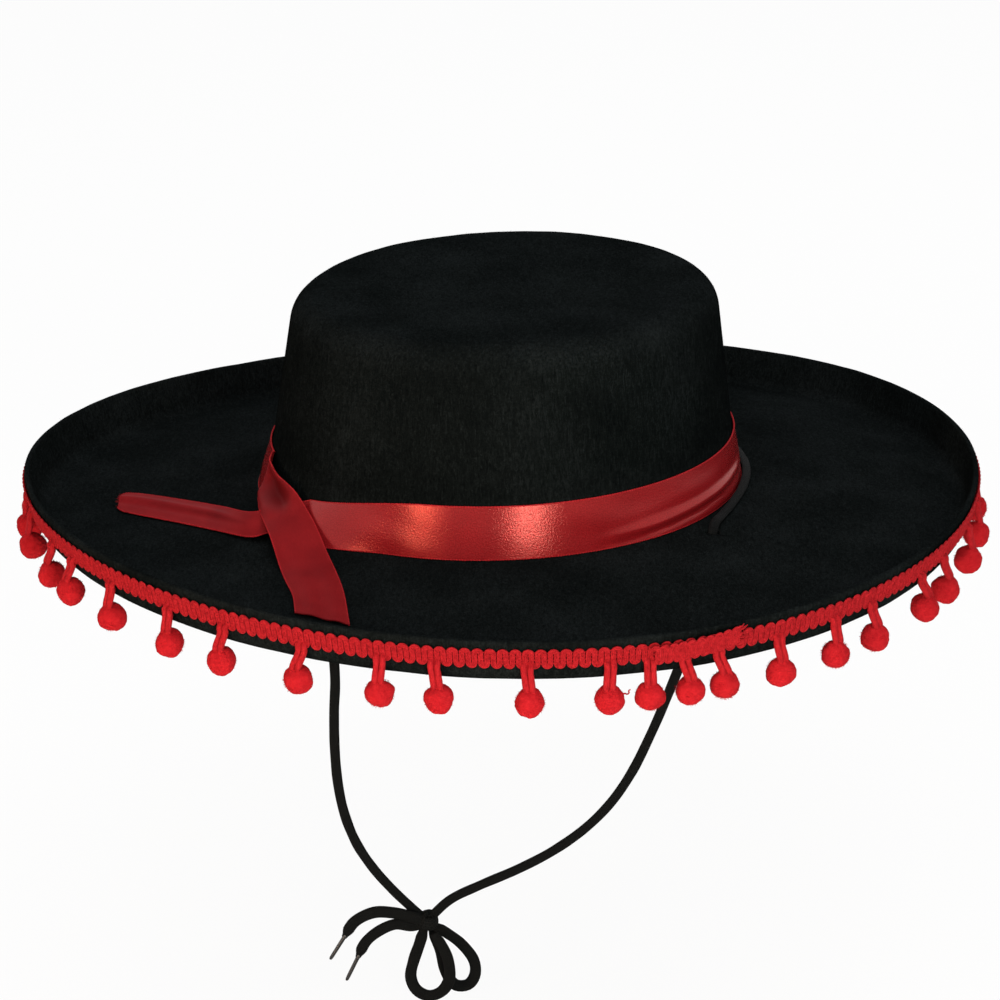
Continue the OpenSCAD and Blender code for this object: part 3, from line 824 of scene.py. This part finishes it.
def make_sweatband():
    """A tape inside the crown, turned under along its lower edge, with a line of stitches."""
    t = np.linspace(0, 2 * math.pi, 180, endpoint=False)
    low, high, thick = FELT + 2 * MM, FELT + 30 * MM, 1.0 * MM
    inside = -FELT - GAP
    rows = [(low + 0.4 * MM, 0), (low, 0.3), (low, 0.8), (low + 0.4 * MM, 1.0), (low + 2.2 * MM, 1.0),
            (low + 2.6 * MM, 0.7), (low + 3.0 * MM, 0.75)]
    rows += [(z, 0.75) for z in np.linspace(low + 5 * MM, high - 1 * MM, 7)]
    rows += [(high - 0.2 * MM, 0.7), (high, 0.4), (high - 0.2 * MM, 0.05)]
    rings = np.array([wall_point(t, z, inside - share * thick) for z, share in rows])
    girth = run_length(rings[4]) / 180
    shape = Shape().grid(
        np.swapaxes(rings, 0, 1), wrap=True, closed=True,
        along=np.arange(181) * girth, across=np.arange(len(rows) + 1) * 2 * MM,
    )
    band = shape.make("sweatband_tape", TAPE_MAT)
    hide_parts("sweatband")
    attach(band, "hat")
    stitches = Shape()
    for a in np.linspace(0, 2 * math.pi, 150, endpoint=False):
        ends = wall_point(np.array([a, a + 0.013, a + 0.026]), low + 1.3 * MM, inside - thick)
        ends[1] += unit(-ends[1] * [1, 1, 0]) * 0.25 * MM
        sweep(stitches, smooth_path(ends, 0.7 * MM), ring(0.22 * MM, 6), (0, 0, 1))
    settle(stitches.make("sweatband_stitches", NAP_MAT), "sweatband_tape", "hat")


make_felt()
make_nap()
make_sweatband()


# ---- ribbon

BAND_FROM, BAND_TO, BAND_STEPS = -143, 192, 110


def ribbon_off(t):
    """How far the ribbon's lower edge stands off the crown, t in degrees. It leans out where
    it meets the crossing."""
    return (1.3 + 6.2 * ease((-117 - t) / 21) + 1.7 * ease((t - 160) / 22)) * MM


def ribbon_low(t):
    """The height of its lower edge: on the brim, and over the lace at the left."""
    over_lace = 2.6 * ease((-133 - t) / 8) + 2.4 * ease((t - 160) / 22)
    return (2.15 + over_lace) * MM - 0.1 * (ribbon_off(t) - 1.3 * MM)


def ribbon_top(t):
    return (22.2 - 9 * ease((-108 - t) / 46)) * MM


LEFT_TAIL = [
    [brim_mm(-153, -18.5, 0.6), brim_mm(-152.3, -2.1, 2)],
    [brim_mm(-142.6, -26, 0.6), brim_mm(-142.8, -6.6, 2.5)],
    [brim_mm(-126.7, -37, 0.6), brim_mm(-124.8, -17.6, 2.5)],
    [brim_mm(-112, -49, 0.8), brim_mm(-109.7, -29.7, 2.8)],
]
LEFT_ROOT = [
    [mm(-98, -62, 1.7), mm(-98, -50, 7.5)],
    [mm(-90, -64, 3.8), mm(-87.5, -52.5, 9.8)],
]
BAND = [
    [
        wall_point(math.radians(t), ribbon_low(t), ribbon_off(t)),
        wall_point(math.radians(t), ribbon_top(t), 2 * GAP),
    ]
    for t in np.linspace(BAND_FROM, BAND_TO, BAND_STEPS + 1)
]
CROSSING = [
    [mm(-95.4, -25.6, 6), mm(-89.6, -23.2, 22.2)],
    [mm(-94.8, -36, 6.4), mm(-86.2, -36.8, 18.4)],
    [mm(-94, -47, 7), mm(-82.3, -46.7, 16.6)],
    [mm(-92, -62, 8), mm(-78.2, -57.4, 15)],
    [mm(-89, -77, 6.6), mm(-72.4, -70.4, 9)],
]
FRONT_TAIL = [
    [brim_mm(-85.2, -91.6, 1.1), brim_mm(-67.2, -85.6, 1.3)],
    [brim_mm(-82.2, -105, 0.6), brim_mm(-63.4, -102, 0.6)],
    [brim_mm(-79, -119, 0.6), brim_mm(-60.2, -120, 0.6)],
    [brim_mm(-77.6, -133, 0.6), brim_mm(-57.6, -145, 0.6)],
]
ACROSS = 24


def hump(v, at, width):
    return np.exp(-(((v - at) / width) ** 2))


def strip_shape(pairs, step, crease, narrow=0.0):
    """A closed ribbon through pairs of edge points, its two faces' points and its run.
    crease(s, v) is how far the cloth lifts at s metres along and share v across it, and narrow
    how much it draws in at its start."""
    pairs = np.array(pairs)
    run = np.linspace(0, 1, len(smooth_path(pairs[:, 0], step)))
    # The far edge takes the same shares of the way as the near edge, pair by pair
    dense = catmull_rom(pairs, 16)
    way = running(dense.mean(axis=1))
    s = run * way[-1]
    near, far = (
        np.stack([np.interp(s, way, edge[:, a]) for a in range(3)], axis=1)[:, None]
        for edge in (dense[:, 0], dense[:, 1])
    )
    v = np.linspace(0, 1, ACROSS + 1)
    drawn = narrow * np.maximum(0, 1 - s / (3 * MM)) ** 2
    share = (0.5 + (v[None, :] - 0.5) * (1 - drawn[:, None]))[:, :, None]
    base = near * (1 - share) + far * share
    normal = unit(np.cross(np.gradient(base, axis=0), np.gradient(base, axis=1)))
    lift = crease(s[:, None], v[None, :])
    inner, outer = base + normal * lift[:, :, None], base + normal * (RIBBON_T + lift)[:, :, None]
    section = np.concatenate([inner, outer[:, ::-1]], axis=1)
    width = np.linalg.norm(outer[len(outer) // 2, -1] - outer[len(outer) // 2, 0])
    across = np.concatenate([v * width, width + v * width, [2 * width + 1 * MM]])
    shape = Shape().grid(section, wrap=True, caps=True, along=np.append(s, s[-1]), across=across)
    return shape, inner, outer, s


def woven_edges(name, inner, outer):
    """The dense woven edge on each side of a ribbon."""
    shape = Shape()
    for j in (0, -1):
        path = (inner[:, j] + outer[:, j]) / 2
        fine = smooth_path(path[:: max(1, len(path) // 160)], 0.55 * MM)
        bead = 1 + 0.28 * np.cos(np.arange(len(fine)) * math.pi)
        sweep(shape, fine, ring(0.3 * MM, 6), (0, 0, 1), grow=bead)
    edges = shape.make(name, EDGE_MAT)
    return edges


def ribbon_pieces(name, nodes, material, pairs, step, crease, narrow=0.0):
    """A ribbon and its woven edges as two pieces, and its outer face's points."""
    shape, inner, outer, s = strip_shape(pairs, step, crease, narrow)
    piece = shape.make(name, material, 70)
    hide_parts(*nodes)
    return (piece, woven_edges(name + "_edges", inner, outer)), outer


def left_crease(s, v):
    """The left tail: folded along its length, with a soft lip."""
    tail = ease((70 * MM - s) / (25 * MM))
    fold = 1.1 * MM * hump(v, 0.62, 0.16) - 0.25 * MM * hump(v, 0.4, 0.1)
    ripple = 0.5 * MM * np.sin(s / (9 * MM)) * np.sin(v * 3)
    return np.maximum(0, fold * tail + 0.35 * MM * np.sin(math.pi * v)) + np.maximum(0, ripple) * 0.5


def front_crease(s, v):
    """The crossing and the front tail: a soft furrow down the middle and a rolled edge."""
    furrow = 0.9 * MM * hump(v, 0.3, 0.2) + 0.8 * MM * hump(v, 0.78, 0.17)
    roll = 0.7 * MM * hump(v, 0.0, 0.1) * np.sin(s / (14 * MM)) ** 2
    fade = ease(s / (14 * MM))
    valley = ease((s - 2 * MM) / (8 * MM)) * ease((46 * MM - s) / (16 * MM))
    deep = valley * MM * (1.6 * hump(v, 0.16, 0.16) + 2.5 * hump(v, 0.98, 0.16) - 2.3 * hump(v, 0.6, 0.17))
    return fade * (1 - valley) * (furrow * (0.6 + 0.4 * np.sin(s / (17 * MM) + 1)) + roll) + deep


def band_crease(s, v):
    """At the right, a broad soft ridge over a sharp groove that runs down to the lower edge
    towards the front. Faint pulls elsewhere."""
    t = mix(BAND_FROM, BAND_TO, s / run_length(np.array(BAND).mean(axis=1)))
    right = ease((t + 72) / 22) * ease((-2 - t) / 14)
    at = mix(0.05, 0.3, np.clip((t + 72) / 62, 0, 1))
    ridge = 1.3 * MM * hump(v, at + 0.13, 0.1) + 0.3 * MM * hump(v, at + 0.4, 0.2)
    lip = 0.5 * MM * hump(v, at - 0.13, 0.08)
    groove = -0.3 * MM * hump(v, at, 0.03)
    away = 1 - ease((t + 112) / 8) * ease((-72 - t) / 8)
    pulls = 0.12 * MM * (1 + np.sin(t * 0.21 + 5 * v)) * np.sin(math.pi * v) * (0.3 + 0.7 * away)
    return np.maximum(0, right * (ridge + lip + groove) + pulls)


def make_ribbon():
    left = [*LEFT_TAIL, *LEFT_ROOT, BAND[0]]
    pieces, outer = ribbon_pieces(
        "ribbon_left", ["ribbon_tail_left"], LEFT_TAIL_MAT, left, 1.2 * MM, left_crease, 0.25
    )
    for piece in pieces:
        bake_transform(piece)
    frays, count = Shape(), 46
    share = rng.beta(2.2, 0.9, (count, 1))
    root = outer[0, 0] * (1 - share) + outer[0, -1] * share - mm(0, 0, 0.25)
    way = unit(np.array([-1, 0.1, 0.15]) + rng.normal(scale=0.35, size=(count, 3)))
    frays.spikes(root - way * 0.5 * MM, way, rng.uniform(1.0, 2.6, count) * MM, 0.11 * MM)
    settle(frays.make("ribbon_left_frays", EDGE_MAT), "red_satin", "ribbon_tail_left")

    pieces, _ = ribbon_pieces("ribbon_round", ["ribbon_band"], SATIN_MAT, BAND, 1.6 * MM, band_crease)
    for piece in pieces:
        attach(piece, "hat")

    front, nodes = [BAND[-1], *CROSSING, *FRONT_TAIL], ["ribbon_crossing", "ribbon_tail_front"]
    pieces, _ = ribbon_pieces("ribbon_front", nodes, CROSSING_MAT, front, 1.2 * MM, front_crease)
    for piece in pieces:
        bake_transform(piece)


make_ribbon()


# ---- braid

BRAID_INSET, BRAID_H = 2.2 * MM, 8.5 * MM
BRAID_MIDDLE, BRAID_LOW = BRAID_INSET + BRAID_H / 2, BRAID_INSET + BRAID_H
LOBE = 4.5 * MM
STRAND_R = 0.42 * MM
STRAND_SHIFTS = (-0.63 * MM, 0.0, 0.63 * MM)


def rim_run(down):
    """Angles round the rim at evenly spaced distances: a function from metres to radians."""
    t = np.linspace(0, 2 * math.pi, 1441)
    run = running(rim_point(down, 1 * MM, t))
    return run[-1], lambda s: np.interp(s % run[-1], run, t)


def serpentine(count, period, height, shift, steps=9):
    """One strand of a serpentine, as places along and down the braid. Each limb runs straight
    up or down and turns round a lobe at its end."""
    turn_r = period / 4
    limb = height / 2 - turn_r - max(STRAND_SHIFTS) - STRAND_R
    rows = []
    for k in range(count):
        for half, way in ((0, -1), (1, 1)):
            x = (k + half / 2) * period + turn_r
            a = np.linspace(0, math.pi, steps)
            r = turn_r + shift * (1 if way < 0 else -1)
            rows.append(np.stack([x - r * np.cos(a), way * (limb + r * np.sin(a))], axis=1))
    return np.vstack(rows)


def braid_strands(shape, start, length, period, out, rise=lambda s: 0.0, whole=False):
    """Three strands side by side along a serpentine, and four threads that bind them."""
    _, angle = rim_run(BRAID_MIDDLE)
    count = round(length / period)
    period = length / count
    for shift in STRAND_SHIFTS:
        s, down = serpentine(count, period, BRAID_H, shift).T
        puff = 0.3 * MM * np.abs(down) / (BRAID_H / 2)
        path = rim_point(BRAID_MIDDLE + down - rise(s), out + STRAND_R + puff, angle(start + s))
        sweep(shape, path, ring(STRAND_R, 6), (0, 0, 1), closed=whole)
    for down in (-2.3 * MM, -0.8 * MM, 0.8 * MM, 2.3 * MM):
        s = np.linspace(0, length, count * 8 + 1)[: -1 if whole else None]
        wave = 0.42 * MM * np.cos(s / period * 4 * math.pi)
        path = rim_point(BRAID_MIDDLE + down - rise(s), out + 1.2 * STRAND_R + wave, angle(start + s))
        sweep(shape, path, ring(0.27 * MM, 5), (0, 0, 1), closed=whole)


def make_braid():
    shape = Shape()
    braid_strands(shape, 0, rim_run(BRAID_MIDDLE)[0], LOBE, GAP, whole=True)
    settle(shape.make("braid_gimp", BRAID_MAT), "red_braid", "hat", "braid")


def make_braid_end():
    """The braid's free end, lapped over its start, rising a little and frayed at its cut."""
    girth, angle = rim_run(BRAID_MIDDLE)
    start, stop = (girth * a / 360 for a in (360 - 76, 360 - 66))
    length = stop - start

    def rise(s):
        return 3.5 * MM * (np.asarray(s) / length) ** 2

    shape = Shape()
    out = 2 * GAP + 1.7 * MM
    braid_strands(shape, start, length, 3.4 * MM, out, rise)
    t_end = angle(stop)
    for down in np.linspace(BRAID_INSET + 0.6 * MM, BRAID_LOW - 1 * MM, 12):
        root = rim_point(down - 3.5 * MM, out + 0.6 * MM, angle(stop - 1.5 * MM))
        ahead = unit(rim_point(down - 3.5 * MM, out, t_end + 0.02) - rim_point(down - 3.5 * MM, out, t_end))
        jig = rng.normal(scale=0.35 * MM, size=(3, 3))
        reach = rng.uniform(2.0, 3.4) * MM
        tip = root + ahead * reach + UP * 0.8 * MM + jig[1]
        path = smooth_path([root, root + ahead * reach * 0.5 + jig[0], tip], 0.5 * MM)
        sweep(shape, path, ring(0.36 * MM, 5), (0, 0, 1), grow=np.linspace(1, 0.45, len(path)))
    settle(shape.make("braid_lap", BRAID_MAT), "red_braid", "hat", "braid_end")


make_braid()
make_braid_end()


# ---- pompoms

POMPOM_R, PILE_SPIKES = 5.5 * MM, 520
THREAD_R, LOOP_HALF = 1.25 * MM, 1.15 * MM


def node_points(name):
    return np.array([v.co for v in frame["nodes"][name].data.vertices])


def ball_grid(centre, radius, seed):
    """A slightly uneven ball of pile."""
    polar, turn = np.linspace(0.08, math.pi - 0.08, 25), np.linspace(0, 2 * math.pi, 36, endpoint=False)
    a, b = np.meshgrid(polar, turn, indexing="ij")
    way = np.stack([np.sin(a) * np.cos(b), np.sin(a) * np.sin(b), np.cos(a)], axis=-1)
    flat = way.reshape(-1, 3)
    lump = np.array([
        0.13 * noise.noise(Vector(p * 1.1) + Vector((seed * 3.1, 0, 0)))
        + 0.05 * noise.noise(Vector(p * 4) + Vector((0, seed * 1.7, 0)))
        for p in flat
    ])
    return centre + (flat * radius * (1 + lump)[:, None]).reshape(way.shape)


def make_pompom(index, joint):
    """A ball of pile on two strands that come out through the braid's lower half."""
    name = joint["child"]
    root, along = np.array(joint["pos_m"]), -np.array(joint["axis"])
    points = node_points(name)
    lowest = points[:, 2].min()
    ball = points[points[:, 2] < lowest + 5.2 * MM]
    centre = (ball.min(axis=0) + ball.max(axis=0)) / 2
    centre[2] = lowest + POMPOM_R
    shape = Shape().grid(ball_grid(centre, POMPOM_R * 0.97, index), wrap=True, caps=True)
    way = unit(rng.normal(size=(PILE_SPIKES, 3)))
    lean = unit(way + rng.normal(scale=0.3, size=(PILE_SPIKES, 3)))
    shape.spikes(centre + way * POMPOM_R * 0.92, lean, rng.uniform(0.4, 0.95, PILE_SPIKES) * MM, 0.1 * MM)
    settle(shape.make(name + "_pile", PILE_MAT), "red_pompom", name, name)

    rim_out = unit(np.cross(along, UP))
    rim_out = rim_out if rim_out @ root > 0 else -rim_out
    strands = Shape()
    top = centre + unit(rim_out * 0.3 + UP) * POMPOM_R
    for side in (-1, 1):
        foot = root + along * side * LOOP_HALF
        points = [
            foot + mm(0, 0, 3.4) - rim_out * 0.9 * MM,
            foot + mm(0, 0, 1.8) + rim_out * 0.7 * MM,
            foot + rim_out * 0.6 * MM,
            top + along * side * LOOP_HALF * 0.95,
            mix(centre, top, 0.55) + along * side * LOOP_HALF * 0.6,
        ]
        path = smooth_path(points, 0.7 * MM)
        sweep(strands, path, ring(THREAD_R, 14, 2, 0.14), along, twist=side * 350)
    loop = strands.make(name + "_loop", LOOP_MAT)
    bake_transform(loop)


def make_stray_thread(name):
    """A loose curl of yarn at the side of one pompom."""
    points = node_points(name)
    centre = np.array([*(points.min(axis=0) + points.max(axis=0))[:2] / 2, points[:, 2].min() + POMPOM_R])
    curl = (
        (4.6, 0.2, 1.6), (5.6, 0.6, 1.9), (6.5, 0.8, 1.5), (7.2, 0.6, 2.1), (7, 0.2, 3), (7.7, 0.2, 3.5),
    )
    path = smooth_path([centre + mm(*p) for p in curl], 0.35 * MM)
    stray = sweep(Shape(), path, ring(0.42 * MM, 8, 2, 0.2), (0, 1, 0), grow=np.linspace(1, 0.6, len(path)))
    settle(stray.make(name + "_stray", LOOP_MAT), "red_pompom", name)


swings = [j for j in frame["joints"] if j["child"].startswith("pompom_")]
for number, swing in enumerate(swings):
    make_pompom(number, swing)
make_stray_thread("pompom_13")


# ---- floor and lighting


def make_floor():
    low = cad_box[0].z - 4 * MM
    bpy.ops.mesh.primitive_plane_add(size=14, location=(0, 0, low))
    floor = bpy.context.object
    floor.name = "floor"
    floor.data.materials.append(floor_material())


def area_light(name, at, target, size, power, colour=(1, 1, 1)):
    data = bpy.data.lights.new(name, "AREA")
    data.shape, data.size, data.size_y = "RECTANGLE", *size
    data.energy, data.color = power, colour
    light = bpy.data.objects.new(name, data)
    bpy.context.scene.collection.objects.link(light)
    light.location = at
    light.rotation_euler = (Vector(at) - Vector(target)).to_track_quat("Z", "Y").to_euler()
    return light


def around(azimuth, elevation, distance):
    """A point round the hat: azimuth 0 is the front, and 90 the right."""
    a, e = math.radians(azimuth), math.radians(elevation)
    level = distance * math.cos(e)
    return (level * math.sin(a), -level * math.cos(a), distance * math.sin(e))


def make_lights():
    """Two tall strips whose reflections cross the ribbon, and broad soft lamps all round."""
    target = (0, 0, 0)
    for name, azimuth, width, power, colour in (
        ("strip_left", -39, 0.15, 3.0, (1, 0.66, 0.4)),
        ("strip_right", 11, 0.19, 4.5, (1, 0.97, 0.82)),
    ):
        strip = area_light(name, around(azimuth, 3.5, 0.9), (0, 0, 0.055), (width, 0.49), power, colour)
        strip.visible_camera = False
    area_light("front", around(-12, 30, 2.0), target, (1.4, 1.0), 2)
    area_light("top", around(20, 72, 1.8), target, (1.5, 1.2), 10)
    area_light("back", around(165, 40, 1.9), target, (1.5, 0.8), 6)
    world = bpy.data.worlds.new("studio")
    bpy.context.scene.world = world
    world.use_nodes = True
    tree = world.node_tree
    kinds = ("Camera", "Glossy", "Transmission")
    camera, glossy, through = (add_node(tree, "ShaderNodeLightPath", f"Is {kind} Ray") for kind in kinds)
    mirrored = add_node(tree, "ShaderNodeMath", operation="MAXIMUM", i0=glossy, i1=through)
    seen = add_node(tree, "ShaderNodeMath", operation="MAXIMUM", i0=camera, i1=mirrored)
    strength = add_node(tree, "ShaderNodeMapRange", Value=seen, **{"To Min": 0.45, "To Max": 1.0})
    background = tree.nodes["Background"].inputs
    background["Color"].default_value = (1, 1, 1, 1)
    tree.links.new(strength, background["Strength"])


make_floor()
make_lights()
bpy.context.scene.view_settings.view_transform = "Standard"
